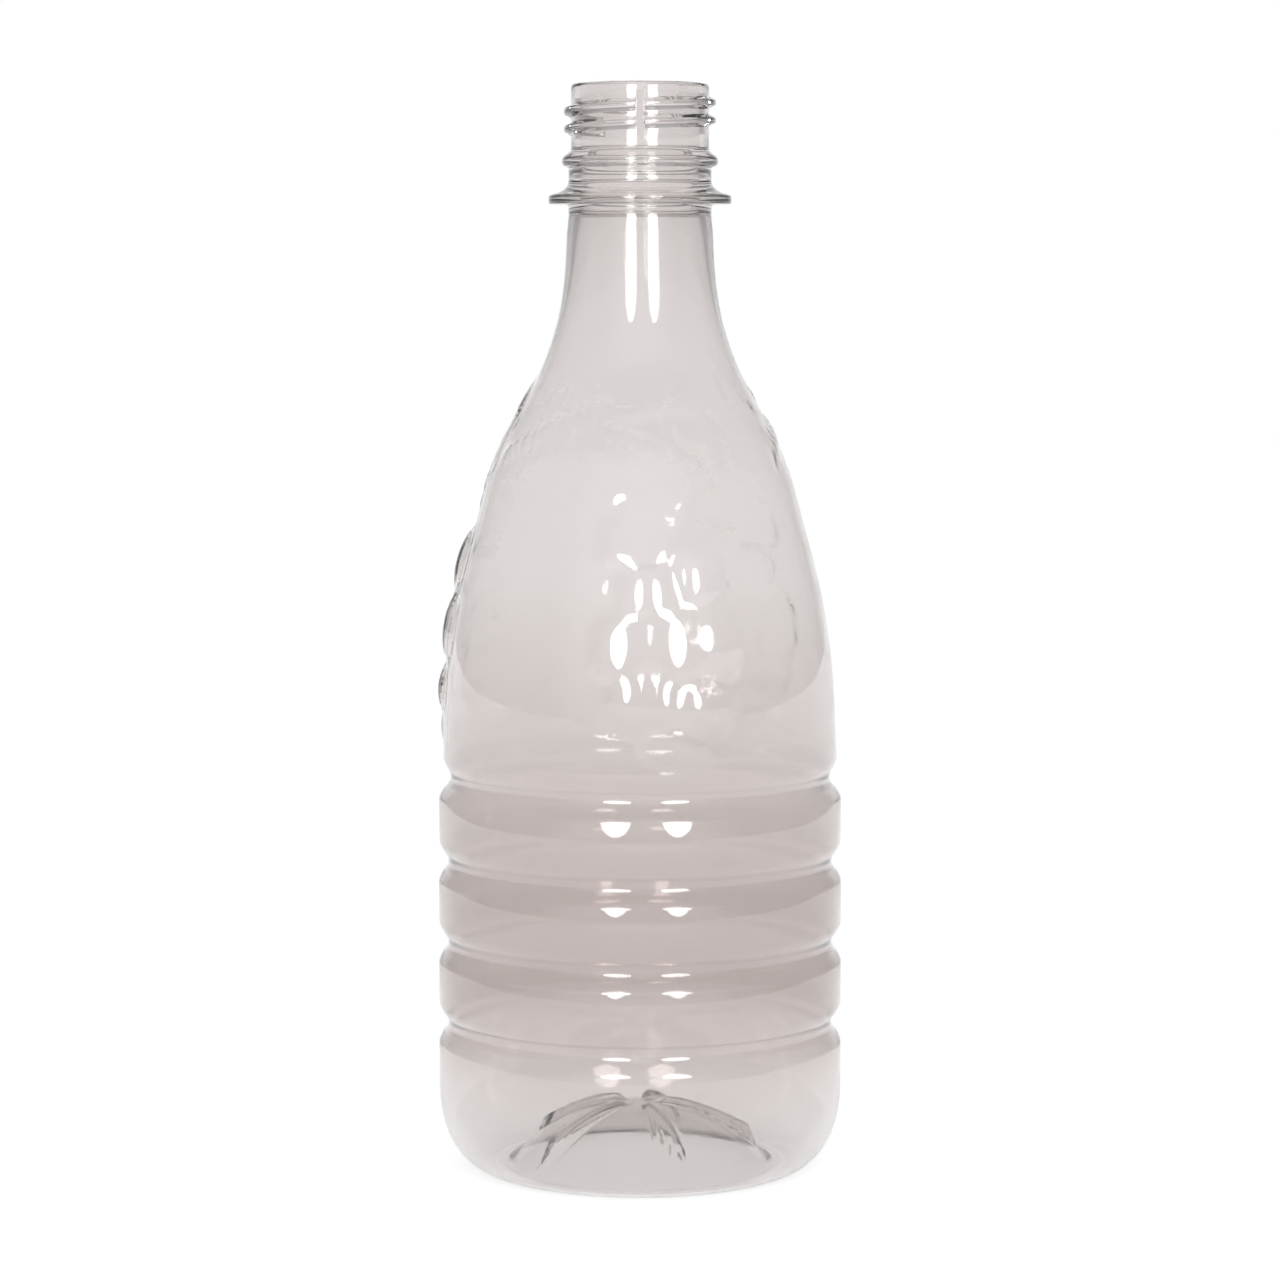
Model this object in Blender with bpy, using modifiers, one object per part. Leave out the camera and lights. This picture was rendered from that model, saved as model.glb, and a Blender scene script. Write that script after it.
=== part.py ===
"""A clear wine bottle blown in one piece, empty and without its cap.

It stands on +Z with its base on z = 0 and its axis on the Z axis. Azimuths are
in degrees, from 0 at the front (-Y) towards +X.
"""

import math

import bmesh
import bpy
from mathutils import Matrix, Vector

MM = 0.001

# Whole bottle, in millimetres
HEIGHT = 197.0
SEGMENTS = 32
WALL = 0.42

# Threaded finish
BORE_RADIUS = 10.87
THREAD_ROOT_RADIUS = 12.45
THREAD_CREST_RADIUS = 13.7
THREAD_PITCH = 3.18
THREAD_BASE_WIDTH = 2.4
THREAD_CREST_WIDTH = 1.0
THREAD_HEIGHT_AT_RIGHT = 193.7
THREAD_TOP_AZIMUTH = 145.0
THREAD_BOTTOM_AZIMUTH = -505.0
VENT_HALF_ANGLE = 3.8
BEAD_RADIUS = 14.05
COLLAR_RADIUS = 12.87
SUPPORT_RADIUS = 16.5
SUPPORT_UNDERSIDE = 175.5

# Body
BAND_RADIUS = 36.85
GROOVE_DEPTH = 1.75
GROOVE_HALF_WIDTH = 3.8
GROOVE_FLOOR_HALF_WIDTH = 1.2
GROOVE_HEIGHTS = (71.7, 56.5, 41.6, 26.8)
HEEL_HEIGHT = 15.0
FOOT_OUTER_RADIUS = 27.0
FOOT_INNER_RADIUS = 24.5

# Push-up under the bottle
DOME_HEIGHT = 11.0
RIB_COUNT = 5
RIB_FIRST_AZIMUTH = 19.5
RIB_HALF_WIDTH = 2.0
RIB_RISE = 1.2
RIB_INNER_RADIUS = 3.0
RIB_OUTER_RADIUS = 23.0

# (radius, height) down the long curve from under the support ring to the first groove
SHOULDER = (
    (12.95, 172.0),
    (14.2, 158.0),
    (16.6, 149.0),
    (20.4, 141.2),
    (24.9, 133.0),
    (28.9, 121.2),
    (33.0, 105.5),
    (35.3, 89.5),
    (35.95, 76.0),
)

# Grapes of one bunch: azimuth, height, half width, half height, how far it stands out
GRAPES = (
    (2.6, 108.0, 5.8, 6.4, 1.5),
    (18.8, 110.8, 5.2, 7.1, 1.7),
    (-5.5, 98.0, 5.3, 6.7, 1.9),
    (11.1, 98.4, 5.1, 7.0, 2.1),
    (23.2, 99.3, 5.1, 6.5, 1.7),
    (-2.5, 89.2, 4.6, 5.2, 1.5),
    (6.4, 88.5, 3.4, 5.6, 1.5),
    (17.6, 87.7, 5.2, 5.2, 1.9),
    (9.8, 82.6, 6.0, 4.5, 1.1),
    (15.4, 81.0, 3.9, 5.0, 1.3),
)

# Lobes of the leaf over the bunch, in the same terms
LEAF_LOBES = (
    (1.0, 119.0, 6.6, 6.6, 0.9),
    (-7.6, 116.6, 4.0, 4.4, 0.9),
    (-7.0, 124.0, 4.4, 1.9, 0.7),
)

# Azimuth and height along the stalk that the bunch hangs from
STALK = ((32.0, 134.5), (29.0, 130.0), (20.5, 127.3), (16.8, 122.5), (13.5, 118.0), (10.2, 113.0))
STALK_RADIUS = 1.15
BUNCH_TURNS = (0.0, 136.0, -113.0)
GRAPE_FACETS = (8, 6)
INNER_GRAPE_FACETS = (6, 4)


def mix(low, high, share):
    return low + (high - low) * share


def shoulder_curve(points, steps):
    """Smooth curve through the points, with this many steps between each pair."""
    ends = (points[0], *points, points[-1])
    curve = []
    for i in range(1, len(ends) - 2):
        before, start, end, after = (Vector(p) for p in ends[i - 1 : i + 3])
        for step in range(steps):
            t = step / steps
            leave = (end - before) / 2
            arrive = (after - start) / 2
            curve.append(
                start * (2 * t**3 - 3 * t**2 + 1)
                + leave * (t**3 - 2 * t**2 + t)
                + end * (3 * t**2 - 2 * t**3)
                + arrive * (t**3 - t**2)
            )
    return [(p.x, p.y) for p in curve] + [points[-1]]


def body_radius(height):
    """Outside radius of the plain shoulder at a height."""
    curve = shoulder_curve(SHOULDER, 6)
    for (r_high, z_high), (r_low, z_low) in zip(curve, curve[1:]):
        if z_low <= height <= z_high:
            return mix(r_low, r_high, (height - z_low) / (z_high - z_low))
    return BAND_RADIUS


def groove(height, radius_above):
    """One groove, down the outside: its upper edge, its floor and its lower edge."""
    floor = BAND_RADIUS - GROOVE_DEPTH
    return [
        (radius_above, height + GROOVE_HALF_WIDTH),
        (floor, height + GROOVE_FLOOR_HALF_WIDTH),
        (floor, height - GROOVE_FLOOR_HALF_WIDTH),
        (BAND_RADIUS, height - GROOVE_HALF_WIDTH),
    ]


def heel(foot_radius, band_radius, low, high, steps=5):
    """Rounded lower edge of the body, from the band down to the foot."""
    power = 2.1
    curve = []
    for i in range(steps + 1):
        angle = math.pi / 2 * i / steps
        across = math.cos(angle) ** (2 / power)
        down = math.sin(angle) ** (2 / power)
        curve.append((mix(foot_radius, band_radius, across), high - (high - low) * down))
    return curve


def dome(radius, low, high, steps=4):
    """Push-up in the base, from its edge in to the axis."""
    curve = []
    for i in range(1, steps + 1):
        share = 1 - i / steps
        curve.append((radius * share, mix(high, low, share**2.2)))
    return curve


def body_rows():
    """The body's rows down the outside, as (radius, height, wall behind it)."""
    rows = []
    for radius, height in shoulder_curve(SHOULDER, 1)[:-1]:
        thick = WALL + 1.5 * max(0.0, (height - 138.0) / 34.0) ** 2
        rows.append((radius, height, thick))
    above = SHOULDER[-1][0]
    for height in GROOVE_HEIGHTS:
        rows += [(r, z, WALL) for r, z in groove(height, above)]
        above = BAND_RADIUS
    return rows


def outside_profile():
    """Down the outside from the top of the axis, and under the base back to it."""
    lip = [
        (0.0, HEIGHT),
        (THREAD_ROOT_RADIUS - 0.4, HEIGHT),
        (THREAD_ROOT_RADIUS, HEIGHT - 0.5),
        (THREAD_ROOT_RADIUS, 185.1),
    ]
    bead = [
        (BEAD_RADIUS - 0.3, 184.0),
        (BEAD_RADIUS, 183.2),
        (BEAD_RADIUS - 0.15, 182.3),
        (COLLAR_RADIUS, 182.1),
        (COLLAR_RADIUS, 179.5),
    ]
    support = [
        (COLLAR_RADIUS + 0.5, 178.3),
        (SUPPORT_RADIUS - 0.3, 177.2),
        (SUPPORT_RADIUS, 176.7),
        (SUPPORT_RADIUS, SUPPORT_UNDERSIDE + 0.2),
        (SUPPORT_RADIUS - 0.2, SUPPORT_UNDERSIDE),
        (COLLAR_RADIUS, SUPPORT_UNDERSIDE),
    ]
    body = [(r, z) for r, z, _ in body_rows()]
    base = heel(FOOT_OUTER_RADIUS, BAND_RADIUS, 0.0, HEEL_HEIGHT)
    foot = [(FOOT_INNER_RADIUS, 0.0), (FOOT_INNER_RADIUS - 1.2, 1.0)]
    push_up = dome(FOOT_INNER_RADIUS - 1.2, 1.0, DOME_HEIGHT)
    return lip + bead + support + body + base + foot + push_up


def inside_profile():
    """Down the inside from above the mouth, and across the base to the axis."""
    bore = [
        (0.0, HEIGHT + 3.0),
        (BORE_RADIUS + 0.3, HEIGHT + 3.0),
        (BORE_RADIUS + 0.3, HEIGHT),
        (BORE_RADIUS, HEIGHT - 0.5),
        (BORE_RADIUS, 176.0),
    ]
    body = [(r - thick, z) for r, z, thick in body_rows()]
    base = heel(FOOT_OUTER_RADIUS, BAND_RADIUS - WALL, WALL, HEEL_HEIGHT)
    foot = [(FOOT_INNER_RADIUS, WALL), (FOOT_INNER_RADIUS - 1.2, 1.0 + WALL)]
    push_up = dome(FOOT_INNER_RADIUS - 1.2, 1.0 + WALL, DOME_HEIGHT + WALL)
    return bore + body + base + foot + push_up


def clear_scene():
    for obj in list(bpy.data.objects):
        bpy.data.objects.remove(obj)


def new_collection(name):
    collection = bpy.data.collections.new(name)
    bpy.context.scene.collection.children.link(collection)
    return collection


def new_object(name, mesh, collection):
    obj = bpy.data.objects.new(name, mesh)
    collection.objects.link(obj)
    return obj


def applied(obj):
    """Gives the object the mesh that its modifiers make, and removes them."""
    bpy.context.view_layer.update()
    graph = bpy.context.evaluated_depsgraph_get()
    mesh = bpy.data.meshes.new_from_object(obj.evaluated_get(graph))
    obj.modifiers.clear()
    obj.data = mesh
    return obj


def face_outwards(mesh):
    shape = bmesh.new()
    shape.from_mesh(mesh)
    bmesh.ops.recalc_face_normals(shape, faces=shape.faces)
    if shape.calc_volume(signed=True) < 0:
        bmesh.ops.reverse_faces(shape, faces=shape.faces)
    shape.to_mesh(mesh)
    shape.free()


def turned(name, profile, collection):
    """Solid of revolution about Z of a profile that starts and ends on the axis."""
    mesh = bpy.data.meshes.new(name)
    points = [(radius * MM, 0.0, height * MM) for radius, height in profile]
    edges = [(i, i + 1) for i in range(len(points) - 1)]
    mesh.from_pydata(points, edges, [])
    obj = new_object(name, mesh, collection)
    screw = obj.modifiers.new("Turn", "SCREW")
    screw.angle = math.tau
    screw.steps = SEGMENTS
    screw.render_steps = SEGMENTS
    screw.use_merge_vertices = True
    screw.merge_threshold = 1e-5
    applied(obj)
    face_outwards(obj.data)
    return obj


def combine(target, collection, operation):
    """Boolean of the target with all in a collection, whose objects are then removed."""
    boolean = target.modifiers.new("Combine", "BOOLEAN")
    boolean.operation = operation
    boolean.operand_type = "COLLECTION"
    boolean.collection = collection
    boolean.solver = "EXACT"
    applied(target)
    for obj in list(collection.objects):
        bpy.data.objects.remove(obj)


def direction(azimuth):
    angle = math.radians(azimuth)
    return Vector((math.sin(angle), -math.cos(angle), 0.0))


def surface_frame(azimuth, height):
    """Place on the shoulder, with its sideways, upward and outward directions."""
    out_flat = direction(azimuth)
    slope = (body_radius(height + 1.0) - body_radius(height - 1.0)) / 2.0
    up = (Vector((0.0, 0.0, 1.0)) + slope * out_flat).normalized()
    side = Vector((0.0, 0.0, 1.0)).cross(out_flat).normalized()
    out = side.cross(up).normalized()
    place = out_flat * body_radius(height) + Vector((0.0, 0.0, height))
    return place, side, up, out


def bulge(name, azimuth, height, half_width, half_height, rise, inset, facets, collection):
    """Ellipsoid set into the shoulder so that a part of it stands out by the rise."""
    place, side, up, out = surface_frame(azimuth, height)
    depth = 0.5 * rise
    thickness = rise + depth
    spread = 1.0 / math.sqrt(1.0 - (depth / thickness) ** 2)
    centre = (place - out * depth) * MM
    sizes = (half_width * spread - inset, half_height * spread - inset, thickness - inset)
    columns = [axis * size * MM for axis, size in zip((side, up, out), sizes)]
    shape = bmesh.new()
    around, along = facets
    bmesh.ops.create_uvsphere(shape, u_segments=around, v_segments=along, radius=1.0)
    # The sphere's poles are laid along the bulge's height
    bmesh.ops.rotate(shape, verts=shape.verts, matrix=Matrix.Rotation(math.pi / 2, 3, "X"))
    frame = Matrix(columns).transposed().to_4x4()
    frame.translation = centre
    bmesh.ops.transform(shape, matrix=frame, verts=shape.verts)
    mesh = bpy.data.meshes.new(name)
    shape.to_mesh(mesh)
    shape.free()
    face_outwards(mesh)
    return new_object(name, mesh, collection)


def tube(name, points, radius, collection):
    """Round bar along points given in metres, with flat ends."""
    curve = bpy.data.curves.new(name, "CURVE")
    curve.dimensions = "3D"
    curve.bevel_depth = radius * MM
    curve.bevel_resolution = 1
    curve.use_fill_caps = True
    spline = curve.splines.new("POLY")
    spline.points.add(len(points) - 1)
    for point, place in zip(spline.points, points):
        point.co = (*place, 1.0)
    bar = new_object(name + "_line", curve, collection)
    bpy.context.view_layer.update()
    graph = bpy.context.evaluated_depsgraph_get()
    mesh = bpy.data.meshes.new_from_object(bar.evaluated_get(graph))
    bpy.data.objects.remove(bar)
    shape = bmesh.new()
    shape.from_mesh(mesh)
    bmesh.ops.remove_doubles(shape, verts=shape.verts, dist=1e-6)
    shape.to_mesh(mesh)
    shape.free()
    face_outwards(mesh)
    return new_object(name, mesh, collection)


def bunch(turn, inset, facets, collection):
    """The grapes of one bunch, drawn in by the inset."""
    for i, (azimuth, *sizes) in enumerate(GRAPES):
        bulge(f"grape_{i}", azimuth + turn, *sizes, inset, facets, collection)


def leaf_and_stalk(turn, collection):
    """The leaf over a bunch, and the stalk that it hangs from."""
    for i, (azimuth, *sizes) in enumerate(LEAF_LOBES):
        bulge(f"leaf_{i}", azimuth + turn, *sizes, 0.0, GRAPE_FACETS, collection)
    line = []
    for azimuth, height in STALK:
        place, _, _, out = surface_frame(azimuth + turn, height)
        line.append((place - out * 0.35) * MM)
    tube("stalk", line, STALK_RADIUS, collection)


def thread_ridge(name, top_azimuth, bottom_azimuth, collection):
    """One length of the screw thread, rising towards +X on the near side."""
    half_base = THREAD_BASE_WIDTH / 2
    half_crest = THREAD_CREST_WIDTH / 2
    root = THREAD_ROOT_RADIUS - 0.5
    start = THREAD_HEIGHT_AT_RIGHT - THREAD_PITCH * (90.0 - bottom_azimuth) / 360.0
    section = (
        (root, start + half_base + 0.2),
        (THREAD_CREST_RADIUS, start + half_crest),
        (THREAD_CREST_RADIUS, start - half_crest),
        (root, start - half_base - 0.2),
    )
    points = [direction(bottom_azimuth) * r * MM + Vector((0, 0, z * MM)) for r, z in section]
    mesh = bpy.data.meshes.new(name)
    mesh.from_pydata(points, [(i, (i + 1) % 4) for i in range(4)], [])
    obj = new_object(name, mesh, collection)
    sweep = top_azimuth - bottom_azimuth
    screw = obj.modifiers.new("Helix", "SCREW")
    screw.angle = math.radians(sweep)
    screw.screw_offset = THREAD_PITCH * sweep / 360.0 * MM
    screw.steps = max(2, round(sweep / 9.0))
    screw.render_steps = screw.steps
    applied(obj)
    shape = bmesh.new()
    shape.from_mesh(obj.data)
    bmesh.ops.holes_fill(shape, edges=[e for e in shape.edges if e.is_boundary], sides=4)
    shape.to_mesh(obj.data)
    shape.free()
    face_outwards(obj.data)
    return obj


def thread(collection):
    """The whole thread, broken by a vent every quarter turn."""
    top = THREAD_TOP_AZIMUTH
    vent = 90.0 * math.floor(top / 90.0)
    count = 0
    while top > THREAD_BOTTOM_AZIMUTH:
        bottom = max(vent + VENT_HALF_ANGLE, THREAD_BOTTOM_AZIMUTH)
        thread_ridge(f"thread_{count}", top, bottom, collection)
        top = vent - VENT_HALF_ANGLE
        vent -= 90.0
        count += 1


def base_ribs(rise, half_width, collection):
    """Radial ribs that stand up from the push-up, as long slanted ellipsoids."""
    inner = Vector((RIB_INNER_RADIUS, DOME_HEIGHT - 0.2))
    outer = Vector((RIB_OUTER_RADIUS, 2.4))
    for i in range(RIB_COUNT):
        out_flat = direction(RIB_FIRST_AZIMUTH + 360.0 / RIB_COUNT * i)
        start = out_flat * inner.x + Vector((0, 0, inner.y))
        end = out_flat * outer.x + Vector((0, 0, outer.y))
        along = end - start
        side = Vector((0.0, 0.0, 1.0)).cross(out_flat)
        up = along.cross(side).normalized()
        if up.z < 0:
            up.negate()
        middle = (start + end) / 2 + up * 1.0
        columns = (along / 2, side * half_width, up * (1.3 + rise))
        shape = bmesh.new()
        bmesh.ops.create_uvsphere(shape, u_segments=8, v_segments=6, radius=1.0)
        bmesh.ops.rotate(shape, verts=shape.verts, matrix=Matrix.Rotation(math.pi / 2, 3, "Y"))
        frame = Matrix([c * MM for c in columns]).transposed().to_4x4()
        frame.translation = middle * MM
        bmesh.ops.transform(shape, matrix=frame, verts=shape.verts)
        mesh = bpy.data.meshes.new(f"rib_{i}")
        shape.to_mesh(mesh)
        shape.free()
        face_outwards(mesh)
        new_object(f"rib_{i}", mesh, collection)


def clear_plastic():
    """Clear PET with the faint warm grey that the whole bottle shows."""
    material = bpy.data.materials.new("clear_pet")
    material.use_nodes = True
    shader = material.node_tree.nodes["Principled BSDF"]
    shader.inputs["Base Color"].default_value = (0.78, 0.74, 0.73, 1.0)
    shader.inputs["Metallic"].default_value = 0.0
    shader.inputs["Roughness"].default_value = 0.05
    shader.inputs["IOR"].default_value = 1.57
    shader.inputs["Alpha"].default_value = 0.35
    return material


def build():
    clear_scene()
    bottle_parts = new_collection("wine_bottle")
    helpers = new_collection("cutters")
    helpers.hide_render = True

    bottle = turned("bottle", outside_profile(), bottle_parts)
    thread(helpers)
    for turn in BUNCH_TURNS:
        bunch(turn, 0.0, GRAPE_FACETS, helpers)
        leaf_and_stalk(turn, helpers)
    combine(bottle, helpers, "UNION")
    base_ribs(RIB_RISE - WALL, RIB_HALF_WIDTH - WALL / 2, helpers)
    combine(bottle, helpers, "DIFFERENCE")

    hollow = turned("hollow", inside_profile(), bottle_parts)
    for turn in BUNCH_TURNS:
        bunch(turn, WALL, INNER_GRAPE_FACETS, helpers)
    combine(hollow, helpers, "UNION")
    base_ribs(RIB_RISE, RIB_HALF_WIDTH + WALL / 2, helpers)
    combine(hollow, helpers, "DIFFERENCE")

    helpers.objects.link(hollow)
    bottle_parts.objects.unlink(hollow)
    combine(bottle, helpers, "DIFFERENCE")

    bottle.data.materials.clear()
    bottle.data.materials.append(clear_plastic())
    bottle.data.shade_smooth()
    bottle.data.set_sharp_from_angle(angle=math.radians(35))


build()
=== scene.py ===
"""A clear blown wine bottle, empty and without its cap, with grapes in relief."""

import math

import bpy
import numpy as np
from mathutils import Matrix, Vector


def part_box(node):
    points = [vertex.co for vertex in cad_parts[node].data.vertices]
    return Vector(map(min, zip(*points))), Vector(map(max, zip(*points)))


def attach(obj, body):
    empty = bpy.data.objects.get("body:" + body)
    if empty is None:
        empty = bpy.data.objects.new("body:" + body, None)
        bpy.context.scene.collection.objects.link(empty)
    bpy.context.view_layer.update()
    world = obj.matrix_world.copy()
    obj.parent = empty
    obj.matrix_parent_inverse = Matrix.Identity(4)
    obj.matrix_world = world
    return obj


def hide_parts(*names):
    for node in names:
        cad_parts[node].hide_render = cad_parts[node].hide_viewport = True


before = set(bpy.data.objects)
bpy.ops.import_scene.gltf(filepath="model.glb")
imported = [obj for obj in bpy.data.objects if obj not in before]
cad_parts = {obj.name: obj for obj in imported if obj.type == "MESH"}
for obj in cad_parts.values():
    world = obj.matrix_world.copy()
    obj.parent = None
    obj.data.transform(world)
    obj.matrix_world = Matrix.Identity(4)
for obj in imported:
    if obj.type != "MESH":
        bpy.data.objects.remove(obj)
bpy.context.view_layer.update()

bl_info = {
    "name": "Blown wine bottle",
    "version": (1, 0, 0),
    "blender": (4, 5, 0),
    "location": "3D View > Sidebar > Bottle",
    "description": "Models a clear plastic wine bottle with bunches of grapes in relief",
    "category": "Add Mesh",
}

BOTTLE_LOW, BOTTLE_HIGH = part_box("bottle")
BOTTLE_HEIGHT = BOTTLE_HIGH[2] - BOTTLE_LOW[2]
BODY_RADIUS = BOTTLE_HIGH[0]
MM = 0.001

# Azimuths are in degrees from the front (-Y) towards the right (+X). The bunch and the
# vine over it are moulded three times round the shoulder, each turned by one of these.
BUNCH_TURNS = (0.0, 136.0, -113.0)
BUNCH_SPAN = (-17.0, 33.0)
SEAM_AZIMUTH = 43.0

# Heights in mm between which the relief lies, and above which the fine vine lies
RELIEF_LOW, RELIEF_HIGH = 75.0, 150.0
VINE_LOW = 127.0

# Azimuths in degrees down the screw thread: where it starts and ends, its first vent, and
# half the width of a vent
THREAD_START, THREAD_END = 145.0, -505.0
FIRST_VENT, HALF_VENT = 90.0, 3.8

# Height in mm of the middle of each groove between the bands, from the top
GROOVE_HEIGHTS = (71.7, 56.5, 41.6, 26.8)

# Azimuth from the front of each softbox, in degrees
LEFT_LIGHT, RIGHT_LIGHT = -13.6, 21.0

# Outside of the shoulder, from under the support ring to the first groove, in mm:
# radius and height
SHOULDER = (
    (12.87, 175.5), (12.88, 173.5), (13.14, 171.1), (13.35, 166.1), (13.7, 161.6),
    (14.18, 158.1), (14.75, 155.1), (15.6, 152.1), (16.56, 149.1), (17.8, 146.1),
    (19.3, 143.1), (20.9, 140.1), (22.55, 137.1), (24.0, 134.6), (25.45, 131.6),
    (26.75, 128.4), (27.84, 125.1), (28.93, 121.1), (30.02, 117.1), (31.12, 113.1),
    (32.15, 109.1), (33.05, 105.1), (33.8, 101.1), (34.42, 97.1), (34.92, 93.1),
    (35.28, 89.1), (35.55, 84.0), (35.75, 79.0), (35.9, 76.0),
)

# Grapes of one bunch: azimuth, height, half width, half height, how far it stands out, and
# how pointed it is, from a flat top with steep sides to a rounder form
GRAPES = (
    (2.6, 108.0, 5.8, 6.8, 1.6, 1.2),
    (18.8, 110.8, 5.2, 7.1, 1.9, 1.5),
    (-5.5, 98.0, 5.4, 6.9, 1.1, 0.1),
    (11.1, 98.4, 6.2, 7.8, 1.4, 0.15),
    (23.2, 99.3, 5.1, 6.9, 1.8, 1.2),
    (-2.5, 89.2, 4.9, 5.4, 1.3, 1.0),
    (6.4, 88.5, 3.8, 5.8, 1.5, 1.0),
    (17.6, 87.7, 5.2, 5.4, 1.8, 1.0),
    (9.8, 82.6, 6.0, 4.6, 1.0, 1.0),
    (15.4, 81.0, 3.9, 5.0, 1.1, 1.0),
)

# Azimuth and height round the edge of the leaf that hangs over the bunch
LEAF = (
    (-12.4, 125.0), (-6.9, 126.0), (-1.4, 124.6), (5.5, 125.8), (7.7, 126.5), (14.0, 125.7),
    (13.6, 121.0), (11.5, 118.0), (9.0, 113.5), (6.0, 111.0), (0.0, 110.5), (-4.5, 112.6),
    (-8.7, 112.8), (-11.6, 115.0), (-12.4, 118.0), (-10.5, 120.2), (-5.5, 121.6), (-4.2, 123.2),
    (-7.5, 123.8), (-12.0, 123.2),
)

# The leaf above the branch
UPPER_LEAF = (
    (-3.0, 139.3), (-5.5, 142.6), (-1.4, 145.4), (4.8, 146.1), (13.6, 144.9), (24.2, 142.8),
    (30.5, 141.3), (34.9, 137.0), (31.0, 136.2), (27.0, 139.2), (17.1, 139.6), (4.0, 139.2),
)

# Lines in relief: azimuth and height along them, their half width, and how far their middle
# lies under the skin
STALK = (
    ((33.5, 137.0), (31.5, 133.0), (29.6, 130.0), (25.0, 128.8), (20.9, 127.6), (17.4, 124.7),
     (15.2, 121.1), (12.4, 117.7), (10.4, 114.6), (9.4, 110.6), (9.2, 106.6)),
    1.15,
    0.45,
)
BRANCH = (
    ((-70.2, 130.4), (-60.0, 132.5), (-49.5, 134.2), (-41.4, 136.2), (-33.0, 136.9),
     (-24.8, 138.1), (-18.1, 139.0), (-10.0, 138.4), (-2.1, 138.1), (2.4, 138.8), (17.1, 139.3),
     (26.0, 138.6), (34.0, 136.6)),
    1.05,
    0.35,
)
UPPER_TENDRIL = (
    ((-51.9, 141.4), (-43.0, 141.0), (-35.7, 141.5), (-27.7, 140.1), (-20.3, 139.5)),
    0.8,
    0.3,
)


def mm(value):
    """Millimetres as metres."""
    return value * MM


def out_from_axis(azimuth):
    """Level direction away from the axis at an azimuth."""
    angle = math.radians(azimuth)
    return Vector((math.sin(angle), -math.cos(angle), 0.0))


def shoulder_radius(height):
    """Outside radius of the plain shoulder at a height, both in mm."""
    radii = [r for r, _ in reversed(SHOULDER)]
    heights = [z for _, z in reversed(SHOULDER)]
    return float(np.interp(height, heights, radii))


def smooth_curve(points, spacing):
    """A smooth curve through 2-D points, with steps of about this length along it."""
    ends = (points[0], *points, points[-1])
    curve = []
    for i in range(1, len(ends) - 2):
        before, start, end, after = (Vector(p) for p in ends[i - 1 : i + 3])
        steps = max(1, round((end - start).length / spacing))
        for step in range(steps):
            t = step / steps
            leave = (end - before) / 2
            arrive = (after - start) / 2
            curve.append(
                start * (2 * t**3 - 3 * t**2 + 1)
                + leave * (t**3 - 2 * t**2 + t)
                + end * (3 * t**2 - 2 * t**3)
                + arrive * (t**3 - t**2)
            )
    return [tuple(p) for p in curve] + [tuple(points[-1])]


# Section of a groove from its floor up to the band: distance from the middle in mm, and
# the share of the full depth there
GROOVE_SECTION = (
    (0.0, 1.0), (0.7, 0.93), (1.3, 0.75), (1.8, 0.53), (2.3, 0.35), (2.8, 0.19), (3.3, 0.07),
    (3.7, 0.0),
)


def groove_rows(height, depth, above, below):
    """Down one groove, from the radius of the band above it to that of the band below."""
    rows = []
    reach = GROOVE_SECTION[-1][0]
    for away, share in GROOVE_SECTION[::-1]:
        edge = above + (below - above) * (0.5 - away / reach / 2)
        rows.append((edge - depth * share, height + away))
    for away, share in GROOVE_SECTION[1:]:
        edge = above + (below - above) * (0.5 + away / reach / 2)
        rows.append((edge - depth * share, height - away))
    return rows


def heel_rows(foot_radius, band_radius, low, high, steps):
    """Round lower edge of the body, from the band down to the foot."""
    rows = []
    for i in range(steps + 1):
        angle = math.pi / 2 * i / steps
        across = math.cos(angle) ** (2 / 2.1)
        down = math.sin(angle) ** (2 / 2.1)
        rows.append(
            (foot_radius + (band_radius - foot_radius) * across, high - (high - low) * down)
        )
    return rows


def dome_rows(edge, edge_height, top, steps):
    """Push-up of the base, from its edge in to the axis."""
    rows = []
    for i in range(1, steps + 1):
        share = 1 - i / steps
        rows.append((edge * share, top + (edge_height - top) * share**2.2))
    return rows


def object_mode():
    if bpy.context.object and bpy.context.object.mode != "OBJECT":
        bpy.ops.object.mode_set(mode="OBJECT")


def pick_only(*objects):
    """Selects these objects alone, with the first one active."""
    object_mode()
    bpy.ops.object.select_all(action="DESELECT")
    for obj in objects:
        obj.select_set(True)
    bpy.context.view_layer.objects.active = objects[0]


def drop_place(obj):
    """Puts the object's place into its mesh, so that it sits at the origin."""
    pick_only(obj)
    bpy.ops.object.transform_apply(location=True, rotation=True, scale=True)


def apply_modifiers(obj):
    pick_only(obj)
    for modifier in list(obj.modifiers):
        bpy.ops.object.modifier_apply(modifier=modifier.name)


def select_points(obj, chosen):
    """Selects these vertices of a mesh and leaves it in edit mode."""
    pick_only(obj)
    bpy.ops.object.mode_set(mode="EDIT")
    bpy.ops.mesh.select_mode(type="VERT")
    bpy.ops.mesh.select_all(action="DESELECT")
    object_mode()
    obj.data.vertices.foreach_set("select", np.asarray(chosen, dtype=bool))
    bpy.ops.object.mode_set(mode="EDIT")
    bpy.ops.mesh.select_mode(type="VERT")


def points_of(obj):
    """The vertices of a mesh, in mm, with their azimuth and distance from the axis."""
    flat = np.empty(len(obj.data.vertices) * 3, dtype=np.float32)
    obj.data.vertices.foreach_get("co", flat)
    points = flat.reshape(-1, 3) / MM
    azimuth = np.degrees(np.arctan2(points[:, 0], -points[:, 1]))
    radius = np.hypot(points[:, 0], points[:, 1])
    return points, azimuth, radius


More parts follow.
